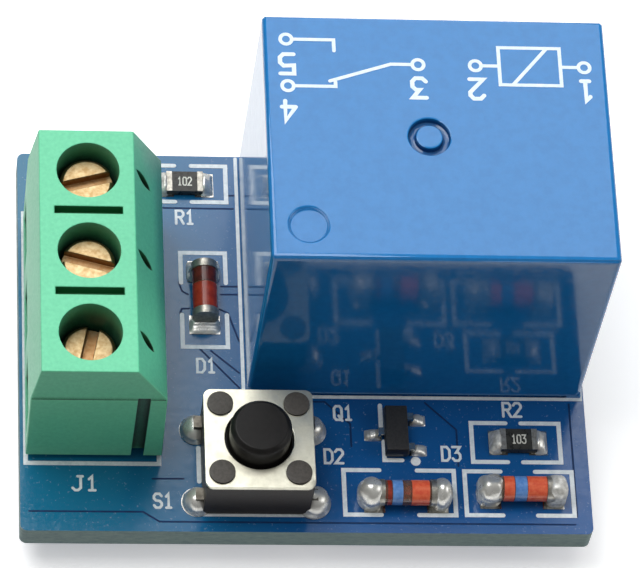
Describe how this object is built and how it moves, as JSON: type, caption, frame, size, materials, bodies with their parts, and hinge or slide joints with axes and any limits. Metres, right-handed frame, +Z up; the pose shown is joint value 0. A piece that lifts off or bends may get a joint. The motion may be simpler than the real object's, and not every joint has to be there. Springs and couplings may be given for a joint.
{
  "type": "relay module board",
  "caption": "Small circuit module with a cube relay, a screw terminal block for the switched contacts, a push button and surface-mounted parts.",
  "frame": {"origin": "on the surface that the leads stand on, below the middle of the circuit board", "axes": "+X along the board, from the terminal block to the relay; +Y across it, towards the relay end of the short sides; +Z up through the board"},
  "size_m": [0.032, 0.0242, 0.0192],
  "materials": {
    "solder_mask_board": "glossy blue solder mask over glass-fibre laminate",
    "tinned_copper": "satin tinned copper",
    "solder": "bright solder",
    "green_polyamide": "satin green moulding",
    "plated_steel": "zinc plated",
    "clamp_brass": "plain brass",
    "screw_brass": "yellow passivated",
    "relay_blue": "glossy blue moulding",
    "relay_base_blue": "satin blue moulding",
    "epoxy": "glossy black resin",
    "bobbin_white": "satin white moulding",
    "enamelled_copper": "enamelled copper wire",
    "soft_iron": "plated soft iron",
    "spring_copper": "spring bronze",
    "contact_silver": "silver alloy",
    "terminal_copper": "tinned copper alloy",
    "black_moulding": "satin black moulding",
    "switch_steel": "bright nickel-plated steel",
    "plunger_black": "matt black moulding",
    "resistor_film": "black overglaze on ceramic",
    "end_cap_tin": "matt tin plate",
    "diode_glass": "clear amber glass",
    "dumet": "red copper-clad wire",
    "transistor_epoxy": "matt black moulding"
  },
  "bodies": {
    "board": {"pcb": "solder_mask_board", "solder_pads": "tinned_copper", "chip_solder": "solder", "hole_solder": "solder", "switch_solder": "solder", "terminal_housing": "green_polyamide", "terminal_cage_1": "plated_steel", "terminal_cage_2": "plated_steel", "terminal_cage_3": "plated_steel", "relay_case": "relay_blue", "relay_base": "relay_base_blue", "relay_resin": "epoxy", "relay_bobbin": "bobbin_white", "relay_coil": "enamelled_copper", "relay_core": "soft_iron", "relay_yoke": "soft_iron", "relay_make_terminal": "terminal_copper", "relay_break_terminal": "terminal_copper", "relay_fixed_contacts": "contact_silver", "relay_common_terminal": "terminal_copper", "relay_coil_pins": "terminal_copper", "switch_base": "black_moulding", "switch_cover": "switch_steel", "switch_dome": "plated_steel", "switch_legs": "plated_steel", "resistor_1_body": "resistor_film", "resistor_1_caps": "end_cap_tin", "resistor_2_body": "resistor_film", "resistor_2_caps": "end_cap_tin", "diode_1_glass": "diode_glass", "diode_1_studs": "dumet", "diode_1_caps": "end_cap_tin", "diode_2_glass": "diode_glass", "diode_2_studs": "dumet", "diode_2_caps": "end_cap_tin", "diode_3_glass": "diode_glass", "diode_3_studs": "dumet", "diode_3_caps": "end_cap_tin", "transistor_body": "transistor_epoxy", "transistor_leads": "end_cap_tin"},
    "button": {"switch_plunger": "plunger_black"},
    "armature": {"relay_armature": "soft_iron", "relay_contact_leaf": "spring_copper", "relay_moving_contact": "contact_silver"},
    "clamp_1": {"wire_clamp_1": "clamp_brass"},
    "screw_1": {"terminal_screw_1": "screw_brass"},
    "clamp_2": {"wire_clamp_2": "clamp_brass"},
    "screw_2": {"terminal_screw_2": "screw_brass"},
    "clamp_3": {"wire_clamp_3": "clamp_brass"},
    "screw_3": {"terminal_screw_3": "screw_brass"}
  },
  "joints": [
    {"name": "button_press", "type": "slide", "parent": "board", "child": "button", "axis": [0, 0, -1], "range_m": [0, 0.00025], "stiffness_N_per_m": 6400, "deforming": ["switch_dome"]},
    {"name": "clamp_slide_1", "type": "slide", "parent": "board", "child": "clamp_1", "axis": [0, 0, -1], "range_m": [0, 0.0021]},
    {"name": "screw_turn_1", "type": "hinge", "parent": "clamp_1", "child": "screw_1", "pos_m": [-0.01255, 0.00508, 0.0124], "axis": [0, 0, -1], "range_deg": [0, 1682]},
    {"name": "clamp_slide_2", "type": "slide", "parent": "board", "child": "clamp_2", "axis": [0, 0, -1], "range_m": [0, 0.0021]},
    {"name": "screw_turn_2", "type": "hinge", "parent": "clamp_2", "child": "screw_2", "pos_m": [-0.01255, 0, 0.0124], "axis": [0, 0, -1], "range_deg": [0, 1682]},
    {"name": "clamp_slide_3", "type": "slide", "parent": "board", "child": "clamp_3", "axis": [0, 0, -1], "range_m": [-0.0007, 0.0014]},
    {"name": "screw_turn_3", "type": "hinge", "parent": "clamp_3", "child": "screw_3", "pos_m": [-0.01255, -0.00508, 0.0117], "axis": [0, 0, -1], "range_deg": [-562, 1122]},
    {"name": "armature_tilt", "type": "hinge", "parent": "board", "child": "armature", "pos_m": [0.0147, 0.0042, 0.01485], "axis": [0, 1, 0], "range_deg": [-2.3, 0], "stiffness_Nm_per_rad": 0.15, "springref_deg": 0.57}
  ],
  "couplings": [
    {"joint": "screw_turn_1", "follows": "clamp_slide_1", "rad_per_m": 13963},
    {"joint": "screw_turn_2", "follows": "clamp_slide_2", "rad_per_m": 13963},
    {"joint": "screw_turn_3", "follows": "clamp_slide_3", "rad_per_m": 13963}
  ]
}
